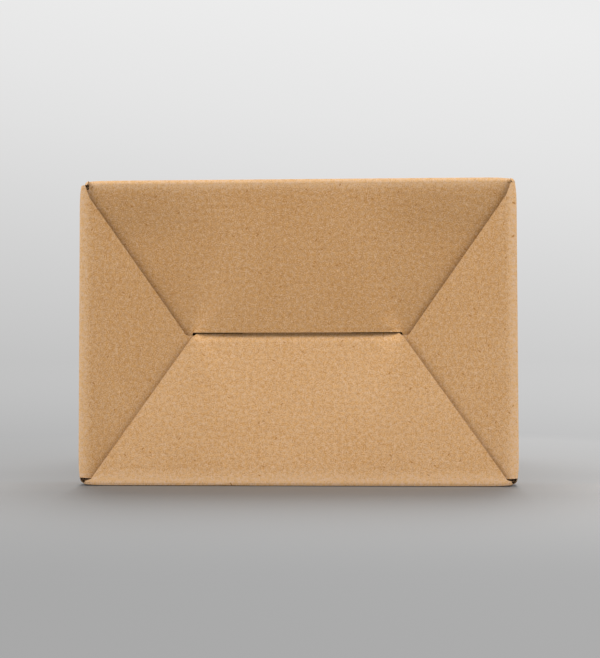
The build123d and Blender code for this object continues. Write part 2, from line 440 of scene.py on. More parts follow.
def crease_place(p, s, depth, start, centre_x, centre_z, from_angle):
    """Point on a wall-to-wall crease, which rounds off to a cap beyond the side flaps' fold."""
    angle = from_angle + (p - start) / CREASE_MIDDLE
    closing = np.maximum(SIDE_FOLD - s, 0) / CREASE_MIDDLE
    radius = CREASE_OUTSIDE - depth
    across = radius * np.cos(closing)
    y = np.maximum(s, SIDE_FOLD) - radius * np.sin(closing)
    return centre_x + across * np.cos(angle), y, centre_z + across * np.sin(angle)


def fold_box(p, s, depth):
    """Place of blank points of the box body. Depth runs from the outer face inwards."""
    half = WIDTH / 2
    inner_z = HEIGHT - CREASE_OUTSIDE
    places = np.column_stack([np.zeros_like(p), s, np.zeros_like(p)])

    def on_wall(low, high, wider=0.0):
        """Points of a wall and its flaps, which may be wider than the flat of the wall at its high end."""
        spill = np.where(s < SIDE_FOLD - CORNER_LIP - TINY, wider, 0.0) + TINY
        return (p >= low - TINY) & (p <= high + spill)

    turns = (
        (P_LEFT, P_LOWER, -INNER_HALF, CREASE_OUTSIDE, math.pi),
        (P_LOWER_END, P_RIGHT, INNER_HALF, CREASE_OUTSIDE, 1.5 * math.pi),
        (P_RIGHT_END, P_UPPER, INNER_HALF, inner_z, 0.0),
        (P_UPPER_END, P_TAB, BOARD - INNER_HALF, inner_z, 0.5 * math.pi),
    )
    for start, end, centre_x, centre_z, from_angle in turns:
        here = (p > start) & (p < end)
        x, y, z = crease_place(p[here], s[here], depth[here], start, centre_x, centre_z, from_angle)
        places[here] = np.column_stack([x, y, z])

    here = p >= P_TAB - TINY
    places[here] = np.column_stack([depth[here] - half + BOARD, s[here], inner_z - (p[here] - P_TAB)])

    here = on_wall(0, P_LEFT)
    level = HEIGHT - SEAM_EDGE - p[here]
    along, inward = wall_place(HEIGHT / 2 - level, s[here], depth[here], SIDE_BOTTOM, DUST_TOP)
    places[here] = np.column_stack([inward - half, along, level])

    here = on_wall(P_LOWER, P_LOWER_END)
    across = p[here] - P_LOWER - INNER_HALF
    along, inward = wall_place(across, s[here], depth[here], LOWER_BOTTOM)
    places[here] = np.column_stack([across, along, inward])

    here = on_wall(P_RIGHT, P_RIGHT_END)
    level = p[here] - P_RIGHT + CREASE_OUTSIDE
    along, inward = wall_place(level - HEIGHT / 2, s[here], depth[here], SIDE_BOTTOM, DUST_TOP)
    places[here] = np.column_stack([half - inward, along, level])

    here = on_wall(P_UPPER, P_UPPER_END, LAYER)
    across = INNER_HALF - (p[here] - P_UPPER)
    along, inward = wall_place(across, s[here], depth[here], UPPER_BOTTOM)
    places[here] = np.column_stack([across, along, HEIGHT - inward])
    return settle(places)


def settle(places):
    """Round off the four corners of the interlocked end, where the folds pull the board in."""
    x, y, z = places.T
    from_side = WIDTH / 2 - np.abs(x)
    from_wall = np.minimum(z, HEIGHT - z)
    near_corner = np.exp(-(from_side ** 2 + from_wall ** 2) / PINCH_SPREAD ** 2)
    near_end = np.exp(-((y - BOTTOM) / PINCH_RUN) ** 2)
    pull = PINCH * near_corner * near_end
    inward_z = np.where(z < HEIGHT / 2, 1, -1)
    return np.stack([x - np.sign(x) * pull, y, z + inward_z * pull], 1)


def fold_lid(p, s, depth):
    """Place of blank points of the lid, which runs on from the upper wall."""
    flat_tuck = TUCK_FOLD - LID_TURN
    along, inward = fold_end(p, s - LID_TURN, depth, flat_tuck, 1, TUCK_LEAN, no_press)
    on_turn = s < LID_FOLD + LID_TURN
    turn = np.clip(s - LID_FOLD, 0, LID_TURN) / CREASE_MIDDLE
    radius = CREASE_OUTSIDE - np.where(on_turn, depth, inward)
    straight = np.where(on_turn, 0, along - LID_FOLD)
    y = LID_FOLD + radius * np.sin(turn) + straight * np.cos(turn)
    z = HEIGHT - CREASE_OUTSIDE + radius * np.cos(turn) - straight * np.sin(turn)
    return np.stack([P_UPPER_MIDDLE - p, y, z], 1)


def rounded(cut):
    """Outline through the (p, s, radius) points of a cut, with each corner rounded to its radius."""
    outline = []
    for i, (p, s, radius) in enumerate(cut):
        if radius == 0:
            outline.append((p, s))
            continue
        here = np.array((p, s))
        before = np.array(cut[i - 1][:2]) - here
        after = np.array(cut[(i + 1) % len(cut)][:2]) - here
        before /= np.linalg.norm(before)
        after /= np.linalg.norm(after)
        half_angle = math.acos(np.clip(before @ after, -1, 1)) / 2
        tangent = radius / math.tan(half_angle)
        for t in ROUND_STEPS:
            curve = (1 - t) ** 2 * before + t ** 2 * after
            outline.append(tuple(here + tangent * curve))
    return outline


def left_p(level):
    """Blank coordinate of a height on the left wall."""
    return HEIGHT - SEAM_EDGE - level


def right_p(level):
    """Blank coordinate of a height on the right wall, which ends at its upper crease."""
    return P_RIGHT + min(level, HEIGHT - CREASE_OUTSIDE) - CREASE_OUTSIDE


def side_cut():
    """Cut of a side bottom flap from its foot to its top, as (level, s, radius)."""
    start = SIDE_FOLD - turn_length(SIDE_LEAN)
    tip = SLIT_LEVEL - SIDE_STEP_DROP
    top = HEIGHT - SIDE_TOP_CORNER
    reach = start - (SIDE_REACH - CREASE_OUTSIDE)
    step = reach - SIDE_STEP_DEPTH
    return [
        (SIDE_FOOT, SIDE_FOLD, 0),
        (SIDE_FOOT, start - SIDE_FOOT_RUN, FLAP_ROUND),
        (tip - SIDE_STEP_HEIGHT, step, FLAP_ROUND),
        (tip, step, SIDE_TIP_ROUND),
        (tip, reach, SIDE_TIP_ROUND),
        (top - SIDE_TOP_FALL, start - SIDE_TOP_RUN, 0),
        (top, start, SIDE_TOP_ROUND),
        (top, SIDE_FOLD, 0),
    ]


def lower_cut(trim):
    """Cut of half of the lower bottom flap from its wing to its tongue, as (across, s, radius)."""
    start = LOWER_FOLD - turn_length(LOWER_LEAN)
    edge = start - LOWER_EDGE
    wing = WIDTH / 2 - LOWER_WING
    hinge = WIDTH / 2 - LOWER_CORNER
    shoulder = SHOULDER_HALF - trim
    return [
        (wing, SIDE_FOLD, 0),
        (wing, start + WING_EASE, WING_ROUND),
        (hinge - trim, start - WING_EASE, 0),
        (shoulder + LOWER_CHAMFER, edge + LOWER_CHAMFER, SHOULDER_ROUND),
        (shoulder, edge, SHOULDER_ROUND),
        (TONGUE_HALF, edge, 0),
        (TONGUE_HALF, edge - TONGUE_LENGTH, TONGUE_ROUND),
    ]


def upper_cut(ear, lip_room):
    """Cut of half of the upper bottom flap from its fold to its recess, as (across, s, radius)."""
    start = UPPER_FOLD - turn_length(UPPER_LEAN)
    edge = start - UPPER_EDGE
    hinge = WIDTH / 2 - UPPER_CORNER
    return [
        (hinge, SIDE_FOLD, 0),
        (hinge, UPPER_FOLD, 0),
        (hinge, start - lip_room, 0),
        (ear, start - lip_room, 0),
        (RECESS_HALF + LEG_WIDTH, edge - LEG_DROP, FLAP_ROUND),
        (RECESS_HALF, edge - LEG_DROP, FLAP_ROUND),
        (RECESS_HALF, edge, RECESS_ROUND),
    ]


def corner_cut(low, high):
    """Cut round the cap at the end of a wall-to-wall crease, as (p, s, radius)."""
    return [
        (low + CORNER_EASE, SIDE_FOLD, 0),
        (low + CORNER_EASE, SIDE_FOLD - CORNER_LIP, 0),
        (high - CORNER_EASE, SIDE_FOLD - CORNER_LIP, 0),
        (high - CORNER_EASE, SIDE_FOLD, 0),
    ]


def seam_cut():
    """Cut round the seam tab, as (p, s, radius)."""
    lip = P_TAB + SEAM_LIP
    low = SIDE_FOLD + SEAM_SETBACK
    high = DUST_FOLD - SEAM_SETBACK
    return [
        (lip, SIDE_FOLD, 0),
        (lip, low, 0),
        (P_END, low + SEAM_TAPER, 0),
        (P_END, high - SEAM_TAPER, 0),
        (lip, high, 0),
        (lip, DUST_FOLD, 0),
    ]


def dust_cut():
    """Cut of a dust flap from its upper side to its lower side, as (level, s, radius)."""
    start = DUST_FOLD + turn_length(DUST_LEAN)
    tip = start + DUST_LENGTH - CREASE_OUTSIDE
    upper = HEIGHT - DUST_FOOT
    return [
        (upper, DUST_FOLD, 0),
        (upper, start, 0),
        (upper - DUST_TAPER, tip, DUST_ROUND),
        (DUST_FOOT + DUST_TAPER, tip, DUST_ROUND),
        (DUST_FOOT, start, 0),
        (DUST_FOOT, DUST_FOLD, 0),
    ]


def box_outline():
    """Die-cut outline of the box blank, once round, in blank coordinates."""
    side = side_cut()
    lower_left = lower_cut(LOWER_LEFT_TRIM)
    lower_right = lower_cut(0)
    upper_right = upper_cut(INNER_HALF, 0)
    upper_left = upper_cut(WIDTH / 2 - LAYER, SEAM_LIP + LAYER_GAP)
    dust = dust_cut()
    reveal = TOP - WALL_REVEAL
    cut = [(0, SIDE_FOLD + SEAM_EASE, 0)]
    cut += [(left_p(level), s, radius) for level, s, radius in side[::-1]]
    cut += [(P_LOWER_MIDDLE - across, s, radius) for across, s, radius in lower_left]
    cut += [(P_LOWER_MIDDLE + across, s, radius) for across, s, radius in lower_right[::-1]]
    cut += [(right_p(level), s, radius) for level, s, radius in side]
    cut += corner_cut(P_RIGHT_END, P_UPPER)
    cut += [(P_UPPER_MIDDLE - across, s, radius) for across, s, radius in upper_right]
    cut += [(P_UPPER_MIDDLE + across, s, radius) for across, s, radius in upper_left[::-1]]
    cut += corner_cut(P_UPPER_END, P_TAB)
    cut += seam_cut()
    cut += [
        (P_UPPER_MIDDLE + LID_HALF, DUST_FOLD, 0),
        (P_UPPER_MIDDLE + LID_HALF, LID_FOLD, 0),
        (P_UPPER_MIDDLE - LID_HALF, LID_FOLD, 0),
        (P_UPPER_MIDDLE - LID_HALF, DUST_FOLD, 0),
    ]
    cut += [(right_p(level), s, radius) for level, s, radius in dust]
    cut += [
        (P_LOWER_MIDDLE + INNER_HALF, DUST_FOLD, 0),
        (P_LOWER_MIDDLE + INNER_HALF, reveal, REVEAL_ROUND),
        (P_LOWER_MIDDLE - INNER_HALF, reveal, REVEAL_ROUND),
        (P_LOWER_MIDDLE - INNER_HALF, DUST_FOLD, 0),
    ]
    cut += [(left_p(level), s, radius) for level, s, radius in dust[::-1]]
    cut.append((0, DUST_FOLD, 0))
    return rounded(cut)


def lid_outline():
    """Die-cut outline of the lid: panel and tuck."""
    tuck_half = LID_HALF - TUCK_SIDE_GAP
    side = [
        (LID_HALF, LID_FOLD, 0),
        (LID_HALF, TUCK_FOLD, LID_ROUND),
        (tuck_half, TUCK_FOLD, 0),
        (tuck_half, TUCK_FOLD + TUCK_TURN + TUCK_LENGTH, TUCK_ROUND),
    ]
    cut = [(P_UPPER_MIDDLE + across, s, radius) for across, s, radius in side]
    cut += [(P_UPPER_MIDDLE - across, s, radius) for across, s, radius in side[::-1]]
    return rounded(cut)


def ticks(low, high, step):
    """Even places from low to high, about a step apart."""
    count = max(1, round((high - low) / step))
    return list(np.linspace(low, high, count + 1))


def box_columns():
    """Lines of constant p that divide the box blank, closer at the creases and the slit's ends."""
    columns = []
    for low, high in WALLS:
        columns += ticks(low, high, COLUMN_STEP)
        columns += [low + BESIDE_CREASE, high - BESIDE_CREASE]
    for low in WALL_CREASES:
        columns += [low + QUARTER * t for t in CREASE_STEPS[1:-1]]
    slope = ticks(TONGUE_HALF + DIP_SPREAD, RECESS_HALF + BOW_MARGIN, SLOPE_STEP)
    for flap_middle in (P_LOWER_MIDDLE, P_UPPER_MIDDLE):
        for side in (-1, 1):
            columns += [flap_middle + side * across for across in slope]
    return columns


def box_rows():
    """Lines of constant s that divide the box blank, closer at the folds and the tongue's bend."""
    flap_start = LOWER_FOLD - turn_length(LOWER_LEAN)
    dust_turn = turn_length(DUST_LEAN)
    rows = ticks(UPPER_FOLD + BESIDE_CREASE, DUST_FOLD - BESIDE_CREASE, ROW_STEP)
    for fold, lean in ((LOWER_FOLD, LOWER_LEAN), (SIDE_FOLD, SIDE_LEAN), (UPPER_FOLD, UPPER_LEAN)):
        rows += [fold - turn_length(lean) * t for t in CREASE_STEPS]
    rows += [SIDE_FOLD - CORNER_LIP * t for t in CREASE_STEPS]
    rows += [DUST_FOLD + dust_turn * t for t in CREASE_STEPS]
    rows += ticks(flap_start - FLAP_SPAN, flap_start - BESIDE_CREASE, FLAP_STEP)
    rows += [flap_start - LOWER_EDGE + BEND_RUN * t for t in CREASE_STEPS]
    rows += ticks(DUST_FOLD + dust_turn + BESIDE_CREASE, DUST_FOLD + DUST_SPAN, ROW_STEP)
    return rows


def lid_columns():
    """Lines of constant p that divide the lid's blank."""
    return ticks(P_UPPER_MIDDLE - LID_HALF, P_UPPER_MIDDLE + LID_HALF, COLUMN_STEP)


def lid_rows():
    """Lines of constant s that divide the lid's blank, closer at its two folds."""
    panel_start = LID_FOLD + LID_TURN
    tuck_start = TUCK_FOLD + TUCK_TURN
    rows = [LID_FOLD + LID_TURN * t for t in CREASE_STEPS]
    rows += ticks(panel_start + BESIDE_CREASE, TUCK_FOLD - BESIDE_CREASE, ROW_STEP)
    rows += [TUCK_FOLD + TUCK_TURN * t for t in CREASE_STEPS]
    rows += ticks(tuck_start + BESIDE_CREASE, tuck_start + TUCK_LENGTH, FLAP_STEP)
    return rows


def cut_blank(outline, columns, rows):
    """Flat blank cut along grid lines, as points, faces and boundary edges."""
    bm = bmesh.new()
    sheet = bm.faces.new([bm.verts.new((p, s, 0)) for p, s in outline])
    sheet.normal_update()
    bmesh.ops.triangulate(bm, faces=[sheet])
    # The triangles' inner edges are marked, so that they can be taken out again between the grid lines.
    for edge in bm.edges:
        edge.seam = len(edge.link_faces) == 2
    for lines, normal in ((columns, Vector((1, 0, 0))), (rows, Vector((0, 1, 0)))):
        for line in lines:
            geometry = bm.verts[:] + bm.edges[:] + bm.faces[:]
            bmesh.ops.bisect_plane(
                bm, geom=geometry, dist=CUT_TOLERANCE, plane_co=normal * line, plane_no=normal
            )
    inner = [edge for edge in bm.edges if edge.seam and len(edge.link_faces) == 2]
    bmesh.ops.dissolve_edges(bm, edges=inner, use_verts=False)
    bm.normal_update()
    bm.verts.index_update()
    points = np.array([vertex.co[:2] for vertex in bm.verts])
    faces = []
    for face in bm.faces:
        loop = [vertex.index for vertex in face.verts]
        if face.normal.z < 0:
            loop.reverse()
        faces.append(loop)
    sides = {}
    for loop in faces:
        for a, b in zip(loop, loop[1:] + loop[:1]):
            sides[(a, b)] = True
    border = [(a, b) for a, b in sides if (b, a) not in sides]
    bm.free()
    return points, faces, border


def slab(points, faces, border, fold, outer_depth, inner_depth):
    """Closed sheet of one liner: both faces, then its cut edge."""
    count = len(points)
    p, s = points.T
    outer = fold(p, s, np.full(count, outer_depth))
    inner = fold(p, s, np.full(count, inner_depth))
    skins = [loop[::-1] for loop in faces]
    skins += [[i + count for i in loop] for loop in faces]
    edges = [[a, b, b + count, a + count] for a, b in border]
    flat = np.column_stack([np.tile(points, (2, 1)), np.repeat([outer_depth, inner_depth], count)])
    return np.concatenate([outer, inner]), flat, [(skins, 0), (edges, 1)]


def cut_places(outline, column):
    """Where a line of constant p crosses the outline, from the lowest s up."""
    ring = np.array(outline)
    following = np.roll(ring, -1, 0)
    hit = (ring[:, 0] > column) != (following[:, 0] > column)
    a = ring[hit]
    b = following[hit]
    return np.sort(a[:, 1] + (column - a[:, 0]) / (b[:, 0] - a[:, 0]) * (b[:, 1] - a[:, 1]))


def flute_runs(outline):
    """Runs of neighbouring columns along one cut: lists of (p, s at the cut, s further in)."""
    ring = np.array(outline)
    columns = np.arange(ring[:, 0].min() + FLUTE_STEP / 2, ring[:, 0].max(), FLUTE_STEP)
    finished = []
    open_runs = []
    for column in columns:
        cuts = cut_places(outline, column)
        if len(cuts) != len(open_runs):
            finished += open_runs
            open_runs = [[] for _ in cuts]
        for k, cut in enumerate(cuts):
            other = cuts[k + 1] if k % 2 == 0 else cuts[k - 1]
            reach = min(FLUTE_REACH, abs(other - cut) * FLUTE_REACH_SHARE)
            inner = cut + math.copysign(reach, other - cut)
            if open_runs[k] and abs(open_runs[k][-1][1] - cut) > FLUTE_JUMP:
                finished.append(open_runs[k])
                open_runs[k] = []
            open_runs[k].append((column, cut, inner))
    return [run for run in finished + open_runs if len(run) > 1]


def medium(outline, fold):
    """Fluted paper between the liners, as strips inside every cut that crosses the flutes."""
    vertices = []
    flat = []
    polygons = []
    offset = 0
    rows = np.linspace(0, 1, FLUTE_ROWS)
    for run in flute_runs(outline):
        run = np.array(run)
        p = np.repeat(run[:, 0], FLUTE_ROWS)
        s = (run[:, 1:2] + (run[:, 2:3] - run[:, 1:2]) * rows).ravel()
        wave = BOARD / 2 + FLUTE_HEIGHT * np.sin(p * 2 * math.pi / FLUTE_PITCH)
        for half_sheet in (-MEDIUM / 2, MEDIUM / 2):
            depth = wave + half_sheet
            vertices.append(fold(p, s, depth))
            flat.append(np.column_stack([p, s, depth]))
        count = len(p)
        grid = offset + np.arange(count).reshape(-1, FLUTE_ROWS)
        rim = list(grid[:, 0]) + list(grid[-1, 1:]) + list(grid[-2::-1, -1]) + list(grid[0, -2:0:-1])
        cells = np.stack([grid[:-1, :-1], grid[1:, :-1], grid[1:, 1:], grid[:-1, 1:]], -1).reshape(-1, 4)
        turned = run[0, 2] < run[0, 1]
        if turned:
            rim.reverse()
            cells = cells[:, ::-1]
        polygons += cells[:, ::-1].tolist()
        polygons += (cells + count).tolist()
        polygons += [[a, b, b + count, a + count] for a, b in zip(rim, rim[1:] + rim[:1])]
        offset += 2 * count
    return np.concatenate(vertices), np.concatenate(flat), [(polygons, 1)]


def wear_at(p, s):
    """How close a point lies to a crease, from 0 to 1."""
    turn_middle = QUARTER / 2
    beside = np.min([np.abs(p - crease - turn_middle) for crease in WALL_CREASES], 0)
    walls = [p < P_LEFT, p < P_LOWER_END, p < P_RIGHT_END]
    bottom_fold = np.select(walls, [SIDE_FOLD, LOWER_FOLD, SIDE_FOLD], UPPER_FOLD)
    top_fold = np.where((p > P_UPPER) & (p < P_UPPER_END), LID_FOLD, DUST_FOLD)
    from_bottom = np.abs(s - bottom_fold + QUARTER)
    from_top = np.abs(s - top_fold - turn_middle)
    from_tuck = np.abs(s - TUCK_FOLD - turn_middle)
    across = np.min([from_bottom, from_top, from_tuck], 0)
    return np.exp(-(np.minimum(beside, across) / WEAR_SPREAD) ** 2)


def painted_flap_light(p, s):
    """Painted light on a bottom flap: the lower one is painted the palest, then the lower ends of the side
    flaps.
    """
    on_lower = (p > P_LEFT) & (p < P_RIGHT) & (s < LOWER_FOLD)
    on_right = (p >= P_RIGHT) & (p < P_UPPER) & (s < SIDE_FOLD)
    on_left = (p <= P_LEFT) & (s < SIDE_FOLD)
    right_painted_light = RIGHT_PAINTED_LIGHT + LOW_END_PAINTED_LIGHT * np.clip(1 - (p - P_RIGHT) / LOW_RUN, 0, 1)
    left_painted_light = LEFT_PAINTED_LIGHT + LOW_END_PAINTED_LIGHT * np.clip(1 - (P_LEFT - p) / LOW_RUN, 0, 1)
    return np.select([on_lower, on_right, on_left], [LOWER_PAINTED_LIGHT, right_painted_light, left_painted_light], 0.0)


def make_mesh(name, pieces, materials):
    """One object from (vertices, blank coordinates, polygon groups) pieces."""
    vertices = np.concatenate([piece[0] for piece in pieces])
    flat = np.concatenate([piece[1] for piece in pieces])
    p = flat[:, 0]
    s = flat[:, 1]
    polygons = []
    slots = []
    offset = 0
    for piece_vertices, _, groups in pieces:
        for loops, slot in groups:
            polygons += [[int(i) + offset for i in loop] for loop in loops]
            slots += [slot] * len(loops)
        offset += len(piece_vertices)
    mesh = bpy.data.meshes.new(name)
    mesh.from_pydata(vertices.tolist(), [], polygons)
    mesh.polygons.foreach_set("material_index", slots)
    blank_places = mesh.attributes.new("blank", "FLOAT_VECTOR", "POINT")
    blank_places.data.foreach_set("vector", (flat / MM).astype(np.float32).ravel())
    # The panel attribute carries the bottom flaps' painted light.
    for attribute, values in (("wear", wear_at(p, s)), ("panel", painted_flap_light(p, s))):
        layer = mesh.attributes.new(attribute, "FLOAT", "POINT")
        layer.data.foreach_set("value", values.astype(np.float32))
    for material in materials:
        mesh.materials.append(material)
    obj = bpy.data.objects.new(name, mesh)
    bpy.context.scene.collection.objects.link(obj)
    return obj


def folded_board(name, outline, columns, rows, fold, materials):
    """Board folded from a die-cut outline: an outer liner, an inner liner and the flutes in the cuts."""
    blank = cut_blank(outline, columns, rows)
    pieces = [
        slab(*blank, fold, 0.0, LINER),
        slab(*blank, fold, BOARD - LINER, BOARD),
        medium(outline, fold),
    ]
    return make_mesh(name, pieces, materials)


class Graph:
    """Short forms for building a shader's nodes."""

    def __init__(self, owner):
        owner.use_nodes = True
        self.nodes = owner.node_tree.nodes
        self.links = owner.node_tree.links

    def add(self, kind, inputs=(), **settings):
        """New node with its settings, then its inputs by name or number."""
        node = self.nodes.new(kind)
        for name, value in settings.items():
            setattr(node, name, value)
        for name, value in dict(inputs).items():
            self.feed(node.inputs[name], value)
        return node

    def feed(self, socket, value):
        """Link a socket to an output, or set it to a constant."""
        if isinstance(value, bpy.types.NodeSocket):
            self.links.new(value, socket)
        else:
            socket.default_value = value

    def attribute(self, name, output):
        """Value that the mesh stores at its points."""
        return self.add("ShaderNodeAttribute", attribute_name=name).outputs[output]

    def math(self, operation, a, b=0.0):
        """Result of an operation on two values."""
        return self.add("ShaderNodeMath", {0: a, 1: b}, operation=operation).outputs[0]

    def square(self, value):
        """Value times itself."""
        return self.math("POWER", value, 2.0)

    def past(self, value, limit):
        """How far a value lies past a limit on either side of zero."""
        return self.math("MAXIMUM", self.math("SUBTRACT", self.math("ABSOLUTE", value), limit), 0.0)

    def noise(self, vector, grain, detail=2.0):
        """Noise with grains of about the given size in the vector's own units."""
        node = self.add("ShaderNodeTexNoise", {"Vector": vector, "Scale": 1 / grain, "Detail": detail})
        return node.outputs["Fac"]

    def span(self, value, low, high, to_low=0.0, to_high=1.0):
        """Smooth step from one level to another as a value goes from low to high."""
        limits = {"Value": value, "From Min": low, "From Max": high, "To Min": to_low, "To Max": to_high}
        return self.add("ShaderNodeMapRange", limits, interpolation_type="SMOOTHSTEP").outputs["Result"]

    def scaled(self, colour, factor):
        """Colour times a factor."""
        return self.add("ShaderNodeVectorMath", {0: colour, "Scale": factor}, operation="SCALE").outputs[0]

    def ramp(self, value, stops):
        """Colour along (place, colour) stops."""
        node = self.add("ShaderNodeValToRGB", {"Fac": value})
        elements = node.color_ramp.elements
        while len(elements) < len(stops):
            elements.new(0.5)
        for element, (place, colour) in zip(elements, stops):
            element.position = place
            element.color = (*colour, 1)
        return node.outputs["Color"]

    def grey_ramp(self, value, stops):
        """Grey along (place, grey) stops."""
        return self.ramp(value, [(place, (grey, grey, grey)) for place, grey in stops])


def fibres(graph, places, turn, length, width, offset):
    """Mask of thin fibres that lie at one angle."""
    settings = {
        "Vector": places,
        "Location": (offset, offset, 0),
        "Rotation": (0, 0, turn),
        "Scale": (length, width, 1),
    }
    turned = graph.add("ShaderNodeMapping", settings, vector_type="TEXTURE").outputs["Vector"]
    return graph.span(graph.noise(turned, grain=1.0, detail=1.0), *FIBRE_RANGE)


def flecks(graph, places, spacing, size, share, turn):
    """Mask of sparse, slightly long specks, one in a share of the cells."""
    settings = {
        "Vector": places,
        "Rotation": (0, 0, turn),
        "Scale": (spacing * FLECK_STRETCH, spacing, spacing),
    }
    turned = graph.add("ShaderNodeMapping", settings, vector_type="TEXTURE").outputs["Vector"]
    cell = graph.add("ShaderNodeTexVoronoi", {"Vector": turned, "Scale": 1.0}, voronoi_dimensions="2D")
    near = graph.span(cell.outputs["Distance"], size * FLECK_CORE / spacing, size / spacing, 1.0, 0.0)
    chosen = graph.add("ShaderNodeSeparateColor", {"Color": cell.outputs["Color"]}).outputs["Red"]
    return graph.math("MULTIPLY", near, graph.math("LESS_THAN", chosen, share))


def fibre_layers(graph, places):
    """Dark and pale fibres and specks, as (mask, weight)."""
    layers = []
    for i, turn in enumerate(FIBRE_TURNS):
        pale_offset = PALE_FIBRE_START + PALE_FIBRE_SHIFT * i
        dark = fibres(graph, places, turn, *DARK_FIBRE, DARK_FIBRE_SHIFT * i)
        pale = fibres(graph, places, turn + PALE_FIBRE_TURN, *PALE_FIBRE, pale_offset)
        layers += [(dark, DARK_FIBRE_WEIGHT), (pale, PALE_FIBRE_WEIGHT)]
    for spacing, size, share, turn, weight in FLECKS:
        layers.append((flecks(graph, places, spacing, size, share, turn), weight))
    return layers


def kraft_material():
    """Brown liner paper: mottled, with fibres, specks, faint flutes, paler creases and painted light on
    the bottom flaps.
    """
    material = bpy.data.materials.new("kraft_board")
    graph = Graph(material)
    places = graph.attribute("blank", "Vector")
    wear = graph.attribute("wear", "Fac")
    # Painted light of the bottom flaps, which lightens their tone and their colour.
    panel = graph.attribute("panel", "Fac")
    round_walls = graph.add("ShaderNodeSeparateXYZ", {"Vector": places}).outputs["X"]
    grain = graph.noise(places, GRAIN_SIZE)
    mottle = graph.noise(places, MOTTLE_SIZE)
    cloud = graph.noise(places, CLOUD_SIZE, CLOUD_DETAIL)
    flute = graph.math("SINE", graph.math("MULTIPLY", round_walls, 2 * math.pi / (FLUTE_PITCH / MM)))

    layers = [
        (graph.math("SUBTRACT", grain, NOISE_MIDDLE), GRAIN_WEIGHT),
        (graph.math("SUBTRACT", mottle, NOISE_MIDDLE), MOTTLE_WEIGHT),
        (graph.math("SUBTRACT", cloud, NOISE_MIDDLE), CLOUD_WEIGHT),
        (flute, FLUTE_WEIGHT),
        (wear, WEAR_WEIGHT),
        (panel, 1.0),
    ]
    layers += fibre_layers(graph, places)
    tone = MIDDLE_TONE
    for mask, weight in layers:
        tone = graph.math("ADD", graph.math("MULTIPLY", mask, weight), tone)
    colour = graph.ramp(tone, [(0.0, KRAFT_DARK), (MIDDLE_TONE, KRAFT), (1.0, KRAFT_LIGHT)])
    # The bottom flaps' painted light also scales up their colour.
    colour = graph.scaled(colour, graph.math("ADD", graph.math("MULTIPLY", panel, PAINTED_LIGHT_GAIN), 1.0))

    tint = graph.math("ADD", *[graph.noise(places, size) for size in TINT_SIZES])
    warmth = graph.ramp(graph.span(tint, *TINT_RANGE), [(0.0, KRAFT_WARM), (1.0, KRAFT_COOL)])
    colour = graph.add("ShaderNodeVectorMath", {0: colour, 1: warmth}, operation="MULTIPLY").outputs[0]

    grain_relief = graph.math("MULTIPLY", grain, GRAIN_RELIEF)
    mottle_relief = graph.math("MULTIPLY", mottle, MOTTLE_RELIEF)
    flute_relief = graph.math("MULTIPLY", flute, FLUTE_RELIEF)
    relief = graph.math("ADD", graph.math("ADD", grain_relief, mottle_relief), flute_relief)
    bump_settings = {"Height": relief, "Strength": KRAFT_BUMP, "Distance": KRAFT_BUMP_HEIGHT}
    bump = graph.add("ShaderNodeBump", bump_settings)

    shader = graph.nodes["Principled BSDF"]
    graph.feed(shader.inputs["Base Color"], colour)
    graph.feed(shader.inputs["Normal"], bump.outputs["Normal"])
    graph.feed(shader.inputs["Roughness"], graph.span(mottle, *MOTTLE_RANGE, *KRAFT_ROUGHNESS))
    shader.inputs["Specular IOR Level"].default_value = PAPER_SPECULAR
    return material


def raw_edge_material():
    """Cut edge of the board: darker, greyer and fuzzy; its darkness is partly its own colour and partly
    painted shade.
    """
    material = bpy.data.materials.new("raw_edge")
    graph = Graph(material)
    fuzz = graph.noise(graph.attribute("blank", "Vector"), FUZZ_SIZE, FUZZ_DETAIL)
    bump_settings = {"Height": fuzz, "Strength": RAW_EDGE_BUMP, "Distance": RAW_EDGE_BUMP_HEIGHT}
    bump = graph.add("ShaderNodeBump", bump_settings)
    shader = graph.nodes["Principled BSDF"]
    # The edge's dark tones are partly painted shade of the lines where flaps overlap.
    graph.feed(shader.inputs["Base Color"], graph.ramp(fuzz, RAW_EDGE_TONES))
    graph.feed(shader.inputs["Normal"], bump.outputs["Normal"])
    shader.inputs["Roughness"].default_value = RAW_EDGE_ROUGHNESS
    shader.inputs["Specular IOR Level"].default_value = PAPER_SPECULAR
    return material


def seen_directly(graph):
    """One for rays that look straight at a surface, in a mirror or through glass."""
    path = graph.add("ShaderNodeLightPath")
    direct = graph.math("MAXIMUM", path.outputs["Is Camera Ray"], path.outputs["Is Glossy Ray"])
    return graph.math("MAXIMUM", direct, path.outputs["Is Transmission Ray"])


def background_colour(graph, level):
    """Grey of the background at a height over the horizon."""
    return graph.grey_ramp(graph.math("ADD", level, BACKGROUND_RAISE), BACKGROUND)


